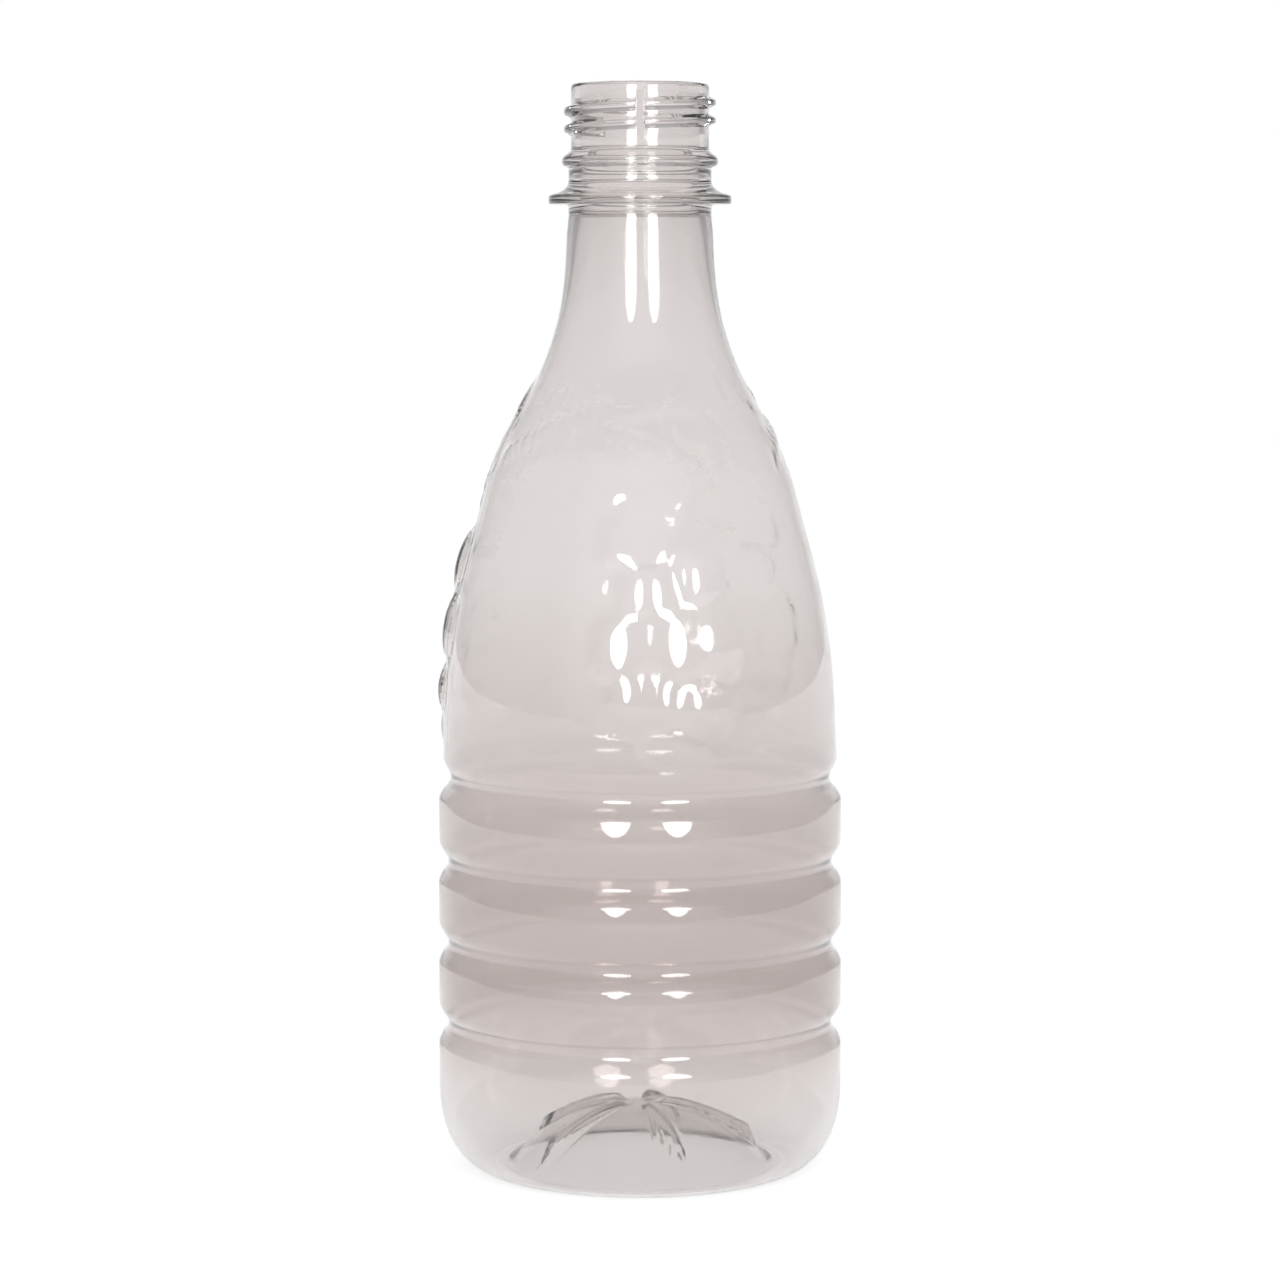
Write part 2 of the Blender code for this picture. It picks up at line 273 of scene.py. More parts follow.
def inside_outline(azimuth, height, outline, turn):
    """Which points lie inside an outline of azimuths and heights."""
    shifted = (azimuth - turn + 180.0) % 360.0 - 180.0
    inside = np.zeros(len(shifted), dtype=bool)
    for (a0, z0), (a1, z1) in zip(outline, outline[1:] + outline[:1]):
        if z0 == z1:
            continue
        crosses = (height > min(z0, z1)) & (height <= max(z0, z1))
        at = a0 + (height - z0) * (a1 - a0) / (z1 - z0)
        inside ^= crosses & (shifted < at)
    return inside


def bottle_object():
    return bpy.data.objects["clear_bottle"]


def outside_points(bottle):
    """Which points belong to the outside of the shoulder."""
    outer = bottle.vertex_groups["outside of the shoulder"].index
    return np.array([any(g.group == outer for g in v.groups) for v in bottle.data.vertices])


class BottleSizes(bpy.types.PropertyGroup):
    wall: bpy.props.FloatProperty(
        name="Wall", description="Thickness of the blown wall", default=mm(0.42), unit="LENGTH"
    )
    neck_wall: bpy.props.FloatProperty(
        name="Neck wall",
        description="How much thicker the wall is at the foot of the neck",
        default=mm(1.4),
        unit="LENGTH",
    )
    bore: bpy.props.FloatProperty(
        name="Bore", description="Radius of the mouth", default=mm(10.87), unit="LENGTH"
    )
    neck: bpy.props.FloatProperty(
        name="Neck", description="Radius under the thread", default=mm(12.42), unit="LENGTH"
    )
    thread_height: bpy.props.FloatProperty(
        name="Thread height",
        description="How far the thread stands out",
        default=mm(1.25),
        unit="LENGTH",
    )
    thread_pitch: bpy.props.FloatProperty(
        name="Thread pitch", description="Rise in one turn", default=mm(3.18), unit="LENGTH"
    )
    groove_depth: bpy.props.FloatProperty(
        name="Groove depth", description="Depth of each groove", default=mm(1.75), unit="LENGTH"
    )
    push_up: bpy.props.FloatProperty(
        name="Push-up", description="Height of the base's middle", default=mm(11.0), unit="LENGTH"
    )
    leaf_height: bpy.props.FloatProperty(
        name="Leaf height",
        description="How far the leaves stand out",
        default=mm(0.8),
        unit="LENGTH",
    )
    follow: bpy.props.FloatProperty(
        name="Inside relief",
        description="How much of the relief shows on the inside of the wall",
        default=0.95,
        subtype="FACTOR",
    )
    seam: bpy.props.FloatProperty(
        name="Seam",
        description="How far the seams of the mould stand out",
        default=mm(0.15),
        unit="LENGTH",
    )


class PlasticLook(bpy.types.PropertyGroup):
    # The cast is the plastic's own faint tint. The body cast is that tint darkened with painted
    # shade, for the darker surroundings seen through and reflected in the lower body; the body's
    # wall is no thicker than the shoulder's.
    cast: bpy.props.StringProperty(
        name="Cast", description="Colour of the thin shoulder, as sRGB hex", default="F0EDEC"
    )
    body_cast_with_painted_shade: bpy.props.StringProperty(
        name="Body cast", description="Colour of the thicker body, as sRGB hex", default="D9D2D0"
    )
    depth_cast: bpy.props.StringProperty(
        name="Cast in depth", description="Colour that thick plastic goes to", default="A2958F"
    )
    depth_density: bpy.props.FloatProperty(
        name="Density", description="How fast thick plastic darkens", default=60.0
    )
    ior: bpy.props.FloatProperty(
        name="IOR", description="Refractive index of the plastic", default=1.57
    )


class StudioLook(bpy.types.PropertyGroup):
    camera_distance: bpy.props.FloatProperty(
        name="Camera distance",
        description="Level distance of the camera from the axis",
        default=0.6949,
        unit="LENGTH",
    )
    camera_height: bpy.props.FloatProperty(
        name="Camera height",
        description="Height of the camera over the floor",
        default=0.1605,
        unit="LENGTH",
    )
    camera_pitch: bpy.props.FloatProperty(
        name="Camera pitch",
        description="How far the camera looks down",
        default=math.radians(5.249),
        subtype="ANGLE",
    )
    lens: bpy.props.FloatProperty(
        name="Lens", description="Focal length in mm on a 36 mm sensor", default=107.775
    )
    softbox: bpy.props.FloatProperty(
        name="Softboxes", description="Brightness of the two tall softboxes", default=6.0
    )
    backdrop: bpy.props.FloatProperty(
        name="Backdrop", description="Brightness behind the bottle", default=1.0
    )
    room: bpy.props.FloatProperty(
        name="Room", description="Brightness on both sides of the bottle", default=0.5
    )
    front: bpy.props.FloatProperty(
        name="Front", description="Brightness of the room in front", default=0.95
    )


class BOTTLE_OT_shell(bpy.types.Operator):
    """Spins the bottle's wall from its profile, outside and inside"""

    bl_idname = "bottle.shell"
    bl_label = "Bottle shell"

    def outside_rows(self, sizes):
        neck = sizes.neck / MM
        body = BODY_RADIUS / MM
        height = BOTTLE_HEIGHT / MM
        depth = sizes.groove_depth / MM
        lip = [
            (neck - 0.75, height),
            (neck - 0.35, height - 0.08),
            (neck - 0.08, height - 0.35),
            (neck, height - 0.8),
            (neck, height - 6.0),
            (neck, 185.6),
        ]
        bead = [
            (neck + 0.15, 184.95), (13.1, 184.5), (13.75, 184.05), (14.0, 183.65),
            (14.05, 183.1), (13.95, 182.6), (13.6, 182.3), (13.1, 182.15), (12.87, 181.9),
            (12.87, 179.9),
        ]
        ring = [
            (12.95, 179.3), (13.25, 178.6), (13.9, 178.0), (15.0, 177.5), (15.9, 177.25),
            (16.3, 177.1), (16.47, 176.85), (16.5, 176.5), (16.5, 175.9), (16.42, 175.62),
            (16.15, 175.5), (13.3, 175.5), (12.98, 175.3),
        ]
        shoulder = []
        for radius, level in smooth_curve(SHOULDER[1:], 0.35):
            spacing = 0.78 if level < 131 else 0.62 if level < 147 else 3.0
            if not shoulder or shoulder[-1][1] - level >= spacing:
                shoulder.append((radius, level))
        rows = lip + bead + ring + shoulder
        above = 35.95
        for level, edge in zip(GROOVE_HEIGHTS, (body - 0.12, body - 0.04, body, body)):
            rows += groove_rows(level, depth, above, edge)
            above = edge
        return rows + [(body, 20.0)]

    def inside_rows(self, sizes, outside):
        wall = sizes.wall / MM
        thick = sizes.neck_wall / MM
        bore = sizes.bore / MM
        height = BOTTLE_HEIGHT / MM
        rows = [
            (bore + 0.55, height), (bore + 0.2, height - 0.1), (bore + 0.03, height - 0.4),
            (bore, height - 0.9), (bore, 186.0), (bore, 177.0),
        ]
        for radius, level in outside:
            if level < 173.6:
                more = thick * max(0.0, (level - 138.0) / 34.0) ** 2
                rows.append((radius - wall - more, level))
        return rows

    def execute(self, context):
        sizes = context.scene.bottle_sizes
        wall = sizes.wall / MM
        body = BODY_RADIUS / MM
        top = sizes.push_up / MM
        outside = self.outside_rows(sizes)
        inside = self.inside_rows(sizes, outside)
        heel_out = heel_rows(27.0, body, 0.0, 15.0, 12)
        heel_in = heel_rows(27.0, body - wall, wall, 15.0, 10)
        foot_out = [(26.0, 0.0), (24.8, 0.03), (24.0, 0.25), (23.3, 0.8)]
        foot_in = [(25.6, wall), (24.6, wall + 0.1), (23.3, 0.85 + wall)]
        profile = (
            dome_rows(23.3, 0.8, top, 14)[::-1]
            + (outside + heel_out + foot_out)[::-1]
            + inside
            + heel_in
            + foot_in
            + dome_rows(23.3, 0.85 + wall, top + wall, 14)
        )
        start = BUNCH_SPAN[0]
        where = out_from_axis(start)
        line = [where * mm(r) + Vector((0, 0, mm(z))) for r, z in profile]

        object_mode()
        bpy.ops.object.select_all(action="DESELECT")
        bpy.ops.mesh.primitive_plane_add(size=0.001, location=(0, 0, 0))
        bottle = context.object
        bottle.name = bottle.data.name = "clear_bottle"
        bpy.ops.object.mode_set(mode="EDIT")
        bpy.ops.mesh.select_all(action="SELECT")
        bpy.ops.mesh.merge(type="CENTER")
        bpy.ops.transform.translate(value=line[0])
        for here, there in zip(line, line[1:]):
            bpy.ops.mesh.extrude_vertices_move(TRANSFORM_OT_translate={"value": there - here})
        bpy.ops.mesh.select_all(action="SELECT")

        # Fine steps round each bunch, coarse ones between, and a narrow one at each seam
        seams = (SEAM_AZIMUTH, SEAM_AZIMUTH + 180.0)
        bunches = [
            tuple((turn + edge - start) % 360.0 for edge in BUNCH_SPAN) for turn in BUNCH_TURNS
        ]
        stops = {0.0, 360.0}
        for low, high in bunches:
            stops |= {low, high}
        for seam in seams:
            stops |= {(seam - start) % 360.0 + side for side in (-0.3, 0.0, 0.3)}
        stops = sorted(stops)
        for low, high in zip(stops, stops[1:]):
            fine = any(a <= (low + high) / 2 <= b for a, b in bunches)
            steps = max(1, round((high - low) / (1.0 if fine else 2.2)))
            bpy.ops.mesh.spin(
                steps=steps,
                angle=math.radians(high - low),
                center=(0, 0, 0),
                axis=(0, 0, 1),
            )
        bpy.ops.mesh.select_all(action="SELECT")
        bpy.ops.mesh.remove_doubles(threshold=2e-6)
        bpy.ops.mesh.normals_make_consistent(inside=False)
        object_mode()

        points, _, radius = points_of(bottle)
        rows = np.array(outside + heel_out)
        order = np.argsort(rows[:, 1])
        outer = np.interp(points[:, 2], rows[order, 1], rows[order, 0])
        shoulder = (points[:, 2] > RELIEF_LOW) & (points[:, 2] < RELIEF_HIGH)
        outer_group = bottle.vertex_groups.new(name="outside of the shoulder")
        inner_group = bottle.vertex_groups.new(name="inside of the shoulder")
        is_outer = radius > outer - wall / 2
        outer_group.add([int(i) for i in np.flatnonzero(shoulder & is_outer)], 1.0, "REPLACE")
        # The inside followed the mould only in part, so its weight is lower
        inner_group.add(
            [int(i) for i in np.flatnonzero(shoulder & ~is_outer)], sizes.follow, "REPLACE"
        )
        return {"FINISHED"}


def draw_out(obj, chosen, stand_out, margin, level):
    """Draws chosen points away from the axis, and eases what lies round them."""
    _, _, radius = points_of(obj)
    base = float(np.median(radius[chosen])) * MM
    share = 1.0 + stand_out / base
    select_points(obj, chosen)
    bpy.ops.transform.resize(
        value=(share, share, 1.0),
        center_override=(0, 0, mm(level)),
        use_proportional_edit=True,
        proportional_edit_falloff="SMOOTH",
        proportional_size=mm(margin),
    )
    object_mode()


class BOTTLE_OT_leaves(bpy.types.Operator):
    """Raises the leaves from the wall, outside and inside together"""

    bl_idname = "bottle.leaves"
    bl_label = "Leaves"

    def execute(self, context):
        bottle = bottle_object()
        sizes = context.scene.bottle_sizes
        outside = outside_points(bottle)
        points, azimuth, _ = points_of(bottle)
        for layer, rise in (
            (outside, sizes.leaf_height),
            (~outside, sizes.leaf_height * sizes.follow),
        ):
            # What is hidden stays where it is while its neighbours are drawn out
            select_points(bottle, ~layer)
            bpy.ops.mesh.hide()
            object_mode()
            for turn in BUNCH_TURNS:
                leaf = inside_outline(azimuth, points[:, 2], LEAF, turn) & layer
                draw_out(bottle, leaf, rise * 0.4, 1.6, 119.0)
                for level, share in ((121.5, 0.3), (118.0, 0.3), (114.5, 0.4)):
                    draw_out(bottle, leaf & (points[:, 2] < level), rise * share, 2.6, level)
                upper = inside_outline(azimuth, points[:, 2], UPPER_LEAF, turn) & layer
                draw_out(bottle, upper, rise * 0.7, 1.3, 141.0)
            select_points(bottle, layer)
            bpy.ops.mesh.reveal(select=False)
            object_mode()
        return {"FINISHED"}


def add_grape(azimuth, height, half_width, half_height, rise, pointed):
    """A whole grape, set into the shoulder so that a part of it stands out by the rise."""
    away = out_from_axis(azimuth)
    slope = (shoulder_radius(height + 1.0) - shoulder_radius(height - 1.0)) / 2.0
    up = (Vector((0, 0, 1)) + slope * away).normalized()
    side = Vector((0, 0, 1)).cross(away).normalized()
    out = side.cross(up).normalized()
    # A grape is the cap of a deeper form, and falls away less at its edge than the round
    # shoulder does at its sides
    depth = pointed * rise
    fall = half_width**2 / (2.0 * shoulder_radius(height))
    widen = 1.0 / math.sqrt(1.0 - (max(0.0, depth - fall) / (rise + depth)) ** 2)
    lengthen = 1.0 / math.sqrt(1.0 - (depth / (rise + depth)) ** 2)
    place = away * shoulder_radius(height) + Vector((0, 0, height)) - out * depth
    turned = Matrix((side, up, out)).transposed().to_euler()
    bpy.ops.mesh.primitive_uv_sphere_add(
        segments=48,
        ring_count=32,
        radius=1.0,
        location=place * MM,
        rotation=turned,
        scale=(mm(half_width * widen), mm(half_height * lengthen), mm(rise + depth)),
    )
    return bpy.context.object


def add_line(points, half_width, sink):
    """A round bar that lies half sunk along azimuths and heights on the shoulder."""
    bpy.ops.curve.primitive_nurbs_path_add(location=(0, 0, 0))
    bar = bpy.context.object
    bar.data.splines.clear()
    spline = bar.data.splines.new("POLY")
    places = smooth_curve(points, 1.2)
    spline.points.add(len(places) - 1)
    for point, (azimuth, height) in zip(spline.points, places):
        radius = shoulder_radius(height) - sink
        point.co = (*(out_from_axis(azimuth) * radius * MM + Vector((0, 0, mm(height)))), 1.0)
    bar.data.bevel_depth = mm(half_width)
    bar.data.bevel_resolution = 3
    bar.data.use_fill_caps = True
    bpy.ops.object.convert(target="MESH")
    return bpy.context.object


def union_of(parts):
    """Joins solids into one by Boolean union and merges what meets."""
    first, rest = parts[0], parts[1:]
    group = bpy.data.collections.new("to join")
    bpy.context.scene.collection.children.link(group)
    for part in rest:
        group.objects.link(part)
    union = first.modifiers.new("Union", "BOOLEAN")
    union.operation = "UNION"
    union.operand_type = "COLLECTION"
    union.collection = group
    union.solver = "EXACT"
    apply_modifiers(first)
    for part in rest:
        bpy.data.objects.remove(part)
    bpy.data.collections.remove(group)
    return first


def press_onto(bottle, mould, group, back_off=0.0, inner=False, upwards=False):
    """Moves the points of a group out to a mould's far side, or short of it. The inner
    wall faces the axis, so there the way out is against its normals."""
    press = bottle.modifiers.new("Press", "SHRINKWRAP")
    press.target = mould
    press.vertex_group = group
    press.wrap_method = "PROJECT"
    press.wrap_mode = "ON_SURFACE"
    press.use_positive_direction = not inner
    press.use_negative_direction = inner
    press.cull_face = "FRONT"
    press.project_limit = mm(4.5)
    press.offset = back_off
    press.use_project_z = upwards
    apply_modifiers(bottle)


class BOTTLE_OT_bunches(bpy.types.Operator):
    """Presses the grapes, the stalks and the branch into the shoulder"""

    bl_idname = "bottle.bunches"
    bl_label = "Bunches of grapes"

    def execute(self, context):
        bottle = bottle_object()
        wall = context.scene.bottle_sizes.wall
        for turn in BUNCH_TURNS:
            parts = []
            for azimuth, *sizes in GRAPES:
                bpy.ops.object.select_all(action="DESELECT")
                parts.append(add_grape(azimuth + turn, *sizes))
            for points, half_width, sink in (STALK, BRANCH, UPPER_TENDRIL):
                bpy.ops.object.select_all(action="DESELECT")
                moved = [(a + turn, z) for a, z in points]
                parts.append(add_line(moved, half_width, sink))
            for part in parts:
                drop_place(part)
            mould = union_of(parts)
            press_onto(bottle, mould, "outside of the shoulder")
            press_onto(bottle, mould, "inside of the shoulder", back_off=wall, inner=True)
            bpy.data.objects.remove(mould)
        points, _, _ = points_of(bottle)
        for low, repeats in ((RELIEF_LOW + 0.5, 1), (VINE_LOW, 2)):
            select_points(bottle, (points[:, 2] > low) & (points[:, 2] < RELIEF_HIGH - 0.5))
            bpy.ops.mesh.vertices_smooth(factor=0.5, repeat=repeats)
        object_mode()
        return {"FINISHED"}


class BOTTLE_OT_seams(bpy.types.Operator):
    """Raises the two fine lines that the halves of the mould left"""

    bl_idname = "bottle.seams"
    bl_label = "Mould seams"

    def execute(self, context):
        bottle = bottle_object()
        _, azimuth, radius = points_of(bottle)
        shifted = (azimuth - SEAM_AZIMUTH + 90.0) % 180.0 - 90.0
        line = (np.abs(shifted) < 0.15) & outside_points(bottle)
        share = 1.0 + context.scene.bottle_sizes.seam / mm(float(np.median(radius[line])))
        select_points(bottle, line)
        bpy.ops.transform.resize(value=(share, share, 1.0), center_override=(0, 0, 0.1))
        object_mode()
        return {"FINISHED"}


class BOTTLE_OT_thread(bpy.types.Operator):
    """Cuts the screw thread as a round-edged ridge, broken by four vents"""

    bl_idname = "bottle.thread"
    bl_label = "Screw thread"

    def ridge(self, sizes, top, bottom):
        pitch = sizes.thread_pitch / MM
        neck = sizes.neck / MM
        crest = neck + sizes.thread_height / MM
        start = 193.7 - pitch * (90.0 - bottom) / 360.0
        section = (
            (neck - 0.5, 1.45), (neck + 0.1, 1.1), (neck + 0.55, 0.78), (crest - 0.25, 0.58),
            (crest - 0.06, 0.42), (crest, 0.2), (crest, -0.2), (crest - 0.06, -0.42),
            (crest - 0.25, -0.58), (neck + 0.55, -0.78), (neck + 0.1, -1.1), (neck - 0.5, -1.45),
        )
        where = out_from_axis(bottom)
        bpy.ops.object.select_all(action="DESELECT")
        bpy.ops.mesh.primitive_circle_add(vertices=len(section), radius=0.001)
        ridge = bpy.context.object
        for vertex, (radius, height) in zip(ridge.data.vertices, section):
            vertex.co = where * mm(radius) + Vector((0, 0, mm(start + height)))
        sweep = top - bottom
        screw = ridge.modifiers.new("Helix", "SCREW")
        screw.angle = math.radians(sweep)
        screw.screw_offset = mm(pitch * sweep / 360.0)
        screw.steps = screw.render_steps = max(2, round(sweep / 4.0))
        apply_modifiers(ridge)
        bpy.ops.object.mode_set(mode="EDIT")
        bpy.ops.mesh.select_all(action="DESELECT")
        bpy.ops.mesh.select_mode(type="EDGE")
        bpy.ops.mesh.select_non_manifold()
        bpy.ops.mesh.edge_face_add()
        bpy.ops.mesh.select_all(action="SELECT")
        bpy.ops.mesh.normals_make_consistent(inside=False)
        object_mode()
        return ridge

    def execute(self, context):
        sizes = context.scene.bottle_sizes
        bottle = bottle_object()
        parts = []
        top, vent = THREAD_START, FIRST_VENT
        while top > THREAD_END:
            bottom = max(vent + HALF_VENT, THREAD_END)
            parts.append(self.ridge(sizes, top, bottom))
            top = vent - HALF_VENT
            vent -= 90.0

        # The neck's top is taken off and closed below, so that the union is a quick one
        points, _, _ = points_of(bottle)
        cut = 185.5
        select_points(bottle, points[:, 2] > cut)
        bpy.ops.mesh.separate(type="SELECTED")
        object_mode()
        neck = next(o for o in context.selected_objects if o is not bottle)
        pick_only(neck)
        bpy.ops.object.mode_set(mode="EDIT")
        bpy.ops.mesh.select_mode(type="EDGE")
        bpy.ops.mesh.select_all(action="DESELECT")
        bpy.ops.mesh.select_non_manifold()
        bpy.ops.mesh.bridge_edge_loops()
        bpy.ops.mesh.select_all(action="SELECT")
        bpy.ops.mesh.normals_make_consistent(inside=False)
        object_mode()
        union_of([neck, *parts])
        pick_only(neck)
        bpy.ops.object.mode_set(mode="EDIT")
        bpy.ops.mesh.select_mode(type="FACE")
        bpy.ops.mesh.select_all(action="DESELECT")
        object_mode()
        for face in neck.data.polygons:
            face.select = face.center.z < mm(cut + 0.6) and abs(face.normal.z) > 0.5
        bpy.ops.object.mode_set(mode="EDIT")
        bpy.ops.mesh.delete(type="ONLY_FACE")
        bpy.ops.mesh.select_all(action="SELECT")
        bpy.ops.mesh.delete_loose()
        object_mode()
        pick_only(bottle, neck)
        bpy.ops.object.join()
        bpy.ops.object.mode_set(mode="EDIT")
        bpy.ops.mesh.select_all(action="SELECT")
        bpy.ops.mesh.remove_doubles(threshold=2e-6)
        object_mode()
        return {"FINISHED"}


class BOTTLE_OT_base_ribs(bpy.types.Operator):
    """Raises five ribs on the push-up of the base"""

    bl_idname = "bottle.base_ribs"
    bl_label = "Base ribs"

    def rib(self, azimuth, half_width, rise, top):
        away = out_from_axis(azimuth)
        start = away * 3.0 + Vector((0, 0, top - 0.2))
        end = away * 23.0 + Vector((0, 0, 2.4))
        along = end - start
        side = Vector((0, 0, 1)).cross(away)
        up = along.cross(side).normalized()
        if up.z < 0:
            up.negate()
        middle = (start + end) / 2 + up * 1.0
        turned = Matrix((along.normalized(), up.cross(along.normalized()), up)).transposed()
        bpy.ops.mesh.primitive_uv_sphere_add(
            segments=24,
            ring_count=16,
            radius=1.0,
            location=middle * MM,
            rotation=turned.to_euler(),
            scale=(along.length / 2 * MM, mm(half_width), mm(1.3 + rise)),
        )
        return bpy.context.object

    def execute(self, context):
        sizes = context.scene.bottle_sizes
        bottle = bottle_object()
        wall = sizes.wall / MM
        top = sizes.push_up / MM
        points, _, radius = points_of(bottle)
        underside = np.interp(radius, (0, 23.3), (0, 1))
        floor_height = top + (0.8 - top) * underside**2.2
        in_dome = (radius < 24.0) & (points[:, 2] < 13.0)
        is_under = points[:, 2] < floor_height + wall / 2
        groups = (
            ("underside of the base", in_dome & is_under, 2.0 - wall / 2, 1.2 - wall),
            ("inside of the base", in_dome & ~is_under, 2.0 + wall / 2, 1.2),
        )
        for name, chosen, half_width, rise in groups:
            group = bottle.vertex_groups.new(name=name)
            group.add([int(i) for i in np.flatnonzero(chosen)], 1.0, "REPLACE")
            parts = []
            for i in range(5):
                bpy.ops.object.select_all(action="DESELECT")
                parts.append(self.rib(19.5 + 72.0 * i, half_width, rise, top))
            for part in parts:
                drop_place(part)
            mould = union_of(parts)
            press_onto(bottle, mould, name, upwards=True)
            bpy.data.objects.remove(mould)
        return {"FINISHED"}


def from_srgb(text):
    """An sRGB hex colour as linear red, green, blue and 1."""
    values = [int(text[i : i + 2], 16) / 255 for i in (0, 2, 4)]
    return (*(v / 12.92 if v <= 0.04045 else ((v + 0.055) / 1.055) ** 2.4 for v in values), 1.0)


def add_node(tree, kind, settings=(), inputs=(), links=()):
    """Adds a node with its settings, its socket values and the links into it."""
    node = tree.nodes.new(kind)
    for name, value in dict(settings).items():
        setattr(node, name, value)
    for name, value in dict(inputs).items():
        node.inputs[name].default_value = value
    for name, socket in dict(links).items():
        tree.links.new(socket, node.inputs[name])
    return node


def blown_clear_pet(look):
    """Clear PET, stretch blown in a polished mould: near colourless, with a faint warm grey
    cast, a bright skin that wavers slightly where the wall stretched, and a light haze.
    Over the lower body the cast is darkened with painted shade."""
    material = bpy.data.materials.new("blown_clear_pet")
    material.use_nodes = True
    tree = material.node_tree
    tree.nodes.clear()
    place = add_node(tree, "ShaderNodeTexCoord").outputs["Object"]
    # The wall stretched more lengthwise than round, so the wavering is drawn out upwards
    stretched = add_node(
        tree, "ShaderNodeMapping", inputs={"Scale": (1.0, 1.0, 0.35)}, links={"Vector": place}
    )
    waver = add_node(
        tree,
        "ShaderNodeTexNoise",
        inputs={"Scale": 70.0, "Detail": 0.0},
        links={"Vector": stretched.outputs["Vector"]},
    )
    bump = add_node(
        tree,
        "ShaderNodeBump",
        inputs={"Strength": 0.07, "Distance": mm(0.12)},
        links={"Height": waver.outputs["Fac"]},
    )
    haze = add_node(
        tree,
        "ShaderNodeTexNoise",
        inputs={"Scale": 260.0, "Detail": 0.0},
        links={"Vector": place},
    )
    roughness = add_node(
        tree,
        "ShaderNodeMapRange",
        inputs={"From Min": 0.35, "From Max": 0.7, "To Min": 0.015, "To Max": 0.06},
        links={"Value": haze.outputs["Fac"]},
    )
    # The lower body takes a darker cast: painted shade, for the darker surroundings seen through
    # and reflected in it. The wall there is no thicker.
    level = add_node(tree, "ShaderNodeSeparateXYZ", links={"Vector": place}).outputs["Z"]
    share = add_node(
        tree, "ShaderNodeMapRange", inputs={"From Max": BOTTLE_HEIGHT}, links={"Value": level}
    )
    cast = add_node(tree, "ShaderNodeValToRGB", links={"Fac": share.outputs["Result"]})
    stops = cast.color_ramp.elements
    stops[0].position = 0.05
    stops[0].color = from_srgb(look.cast)
    stops[1].position = 0.55
    stops[1].color = from_srgb(look.cast)
    # The two darker stops are the painted shade of the lower body
    for position in (0.14, 0.26):
        stops.new(position).color = from_srgb(look.body_cast_with_painted_shade)
    shader = add_node(
        tree,
        "ShaderNodeBsdfPrincipled",
        inputs={"Transmission Weight": 1.0, "IOR": look.ior},
        links={
            "Base Color": cast.outputs["Color"],
            "Roughness": roughness.outputs["Result"],
            "Normal": bump.outputs["Normal"],
        },
    )
    depth = add_node(
        tree,
        "ShaderNodeVolumeAbsorption",
        inputs={"Color": from_srgb(look.depth_cast), "Density": look.depth_density},
    )
    add_node(
        tree,
        "ShaderNodeOutputMaterial",
        links={"Surface": shader.outputs["BSDF"], "Volume": depth.outputs["Volume"]},
    )
    return material


class BOTTLE_OT_finish(bpy.types.Operator):
    """Smooths the finished bottle, gives it its plastic and puts it on the CAD body"""

    bl_idname = "bottle.finish"
    bl_label = "Finish"

    def execute(self, context):
        bottle = bottle_object()
        pick_only(bottle)
        bpy.ops.object.shade_smooth()
        bpy.ops.object.mode_set(mode="EDIT")
        bpy.ops.mesh.select_mode(type="EDGE")
        bpy.ops.mesh.select_all(action="DESELECT")
        bpy.ops.mesh.edges_select_sharp(sharpness=math.radians(40))
        object_mode()
        heights, _, _ = points_of(bottle)
        for edge in bottle.data.edges:
            if edge.select and heights[edge.vertices[0], 2] < 184.0:
                edge.select = False
        bpy.ops.object.mode_set(mode="EDIT")
        bpy.ops.mesh.mark_sharp()
        object_mode()
        bottle.vertex_groups.clear()
        bottle.data.materials.clear()
        bottle.data.materials.append(blown_clear_pet(context.scene.plastic_look))
        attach(bottle, "root")
        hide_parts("bottle")
        return {"FINISHED"}


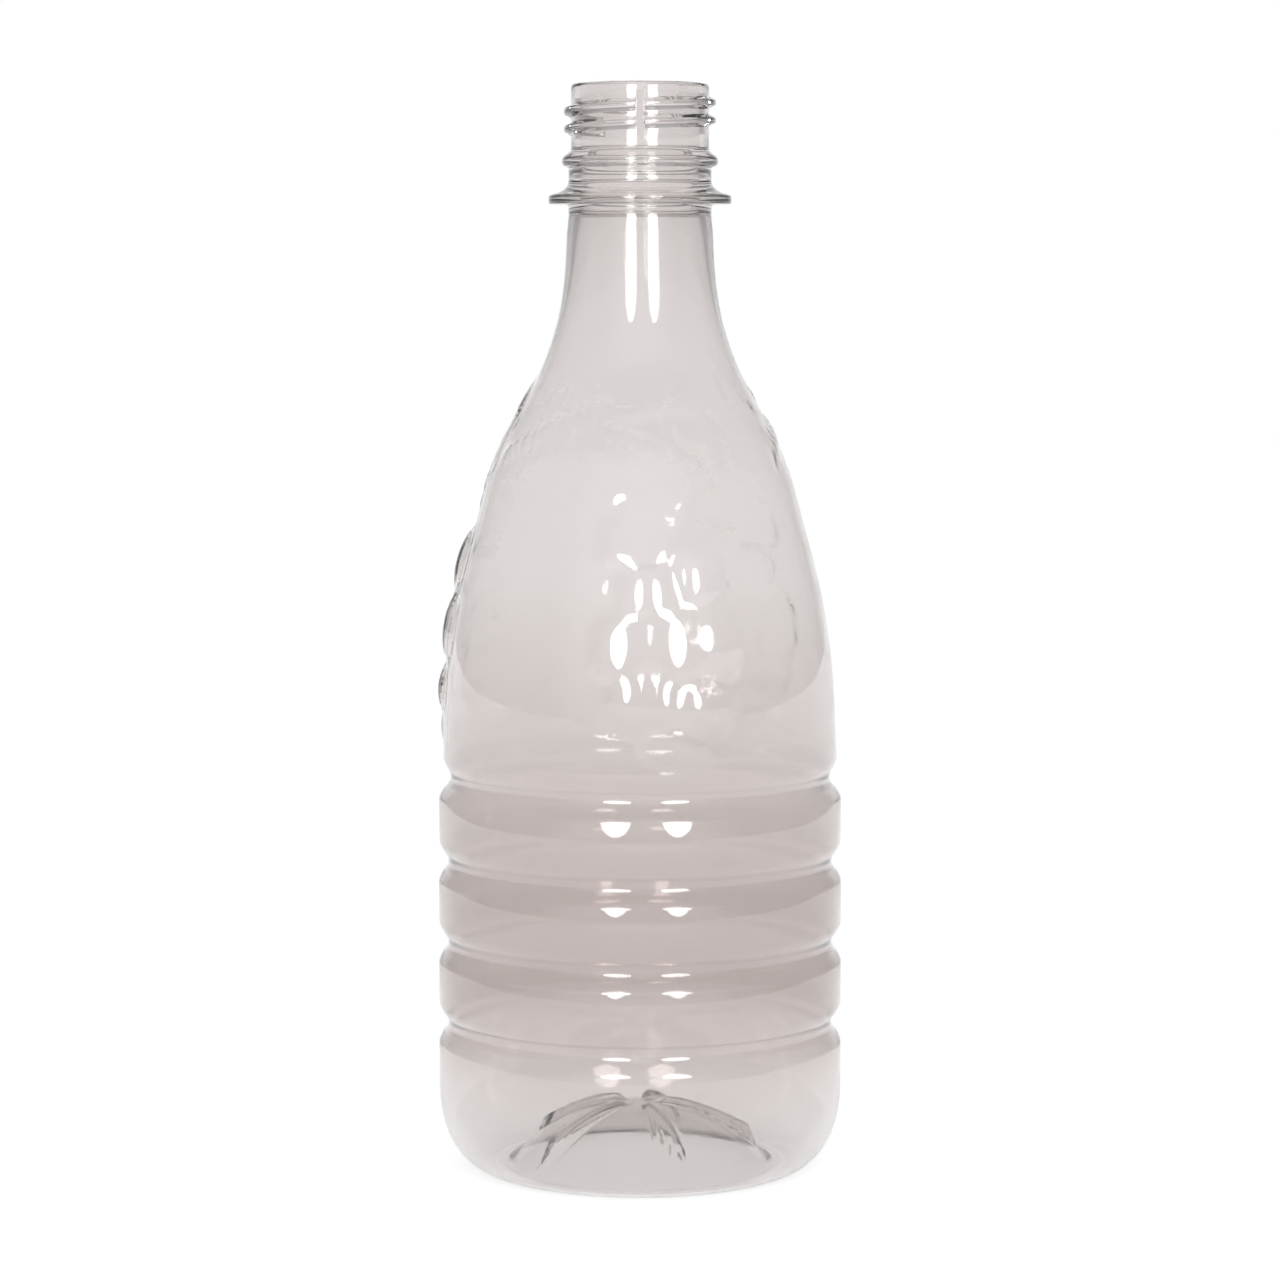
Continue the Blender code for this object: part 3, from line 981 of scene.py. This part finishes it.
class BOTTLE_OT_stage(bpy.types.Operator):
    """Sets the pale floor, the white surroundings, the lights and the camera"""

    bl_idname = "bottle.stage"
    bl_label = "Studio"

    def softbox(self, name, azimuth, brightness):
        width, height, distance = 0.27, 0.5, 0.9
        place = out_from_axis(azimuth) * distance + Vector((0, 0, 0.34))
        bpy.ops.object.light_add(type="AREA", location=place)
        light = bpy.context.object
        light.name = name
        light.data.shape = "ELLIPSE"
        light.data.size = width
        light.data.size_y = height
        light.data.energy = brightness * width * height * math.pi
        towards = Vector((0, 0, 0.12)) - place
        light.rotation_euler = towards.to_track_quat("-Z", "Y").to_euler()

    def surroundings(self, look):
        """A white backdrop behind the bottle, a pale room before it, and darker sides."""
        world = bpy.data.worlds.new("pale_room")
        world.use_nodes = True
        tree = world.node_tree
        tree.nodes.clear()
        where = add_node(tree, "ShaderNodeTexCoord").outputs["Generated"]
        split = add_node(tree, "ShaderNodeSeparateXYZ", links={"Vector": where})
        behind = add_node(
            tree,
            "ShaderNodeMapRange",
            {"interpolation_type": "SMOOTHSTEP"},
            {"From Min": 0.78, "From Max": 0.95, "To Min": look.room, "To Max": look.backdrop},
            {"Value": split.outputs["Y"]},
        )
        before = add_node(
            tree,
            "ShaderNodeMapRange",
            {"interpolation_type": "SMOOTHSTEP"},
            {"From Min": -0.5, "From Max": -0.9, "To Max": look.front - look.room},
            {"Value": split.outputs["Y"]},
        )
        fade = add_node(
            tree,
            "ShaderNodeMath",
            links={0: behind.outputs["Result"], 1: before.outputs["Result"]},
        )
        background = add_node(
            tree, "ShaderNodeBackground", links={"Strength": fade.outputs["Value"]}
        )
        background.inputs["Color"].default_value = (1.0, 1.0, 1.0, 1.0)
        add_node(
            tree, "ShaderNodeOutputWorld", links={"Surface": background.outputs["Background"]}
        )
        return world

    def execute(self, context):
        look = context.scene.studio_look
        scene = context.scene
        bpy.ops.object.select_all(action="DESELECT")
        bpy.ops.mesh.primitive_plane_add(size=6.0, location=(0, 0, 0))
        floor = context.object
        floor.name = "floor"
        paper = bpy.data.materials.new("white_paper_sweep")
        paper.use_nodes = True
        shader = paper.node_tree.nodes["Principled BSDF"]
        shader.inputs["Base Color"].default_value = from_srgb("BCBCBC")
        shader.inputs["Roughness"].default_value = 0.9
        shader.inputs["Emission Color"].default_value = (1.0, 1.0, 1.0, 1.0)
        shader.inputs["Emission Strength"].default_value = 0.74
        floor.data.materials.append(paper)

        self.softbox("left_softbox", LEFT_LIGHT, look.softbox)
        self.softbox("right_softbox", RIGHT_LIGHT, look.softbox)
        scene.world = self.surroundings(look)
        scene.view_settings.view_transform = "Standard"

        place = (0.0, -look.camera_distance, look.camera_height)
        turned = (math.pi / 2 - look.camera_pitch, 0.0, 0.0)
        bpy.ops.object.camera_add(location=place, rotation=turned)
        camera = context.object
        camera.data.sensor_width = 36.0
        camera.data.lens = look.lens
        scene.camera = camera
        return {"FINISHED"}


class BOTTLE_PT_panel(bpy.types.Panel):
    """Lists the steps and sizes of the bottle"""

    bl_label = "Wine bottle"
    bl_space_type = "VIEW_3D"
    bl_region_type = "UI"
    bl_category = "Bottle"

    def draw(self, context):
        for step in STEPS:
            self.layout.operator(step.bl_idname)
        for group in (
            context.scene.bottle_sizes,
            context.scene.plastic_look,
            context.scene.studio_look,
        ):
            for name in group.__annotations__:
                self.layout.prop(group, name)


STEPS = (
    BOTTLE_OT_shell,
    BOTTLE_OT_leaves,
    BOTTLE_OT_bunches,
    BOTTLE_OT_seams,
    BOTTLE_OT_base_ribs,
    BOTTLE_OT_thread,
    BOTTLE_OT_finish,
    BOTTLE_OT_stage,
)
CLASSES = (BottleSizes, PlasticLook, StudioLook, *STEPS, BOTTLE_PT_panel)


def register():
    for one in CLASSES:
        bpy.utils.register_class(one)
    bpy.types.Scene.bottle_sizes = bpy.props.PointerProperty(type=BottleSizes)
    bpy.types.Scene.plastic_look = bpy.props.PointerProperty(type=PlasticLook)
    bpy.types.Scene.studio_look = bpy.props.PointerProperty(type=StudioLook)


def unregister():
    del bpy.types.Scene.studio_look
    del bpy.types.Scene.plastic_look
    del bpy.types.Scene.bottle_sizes
    for one in reversed(CLASSES):
        bpy.utils.unregister_class(one)


def main():
    register()
    bpy.ops.object.select_all(action="DESELECT")
    bpy.ops.bottle.shell()
    bpy.ops.bottle.leaves()
    bpy.ops.bottle.bunches()
    bpy.ops.bottle.seams()
    bpy.ops.bottle.base_ribs()
    bpy.ops.bottle.thread()
    bpy.ops.bottle.finish()
    bpy.ops.bottle.stage()


if __name__ == "__main__":
    main()
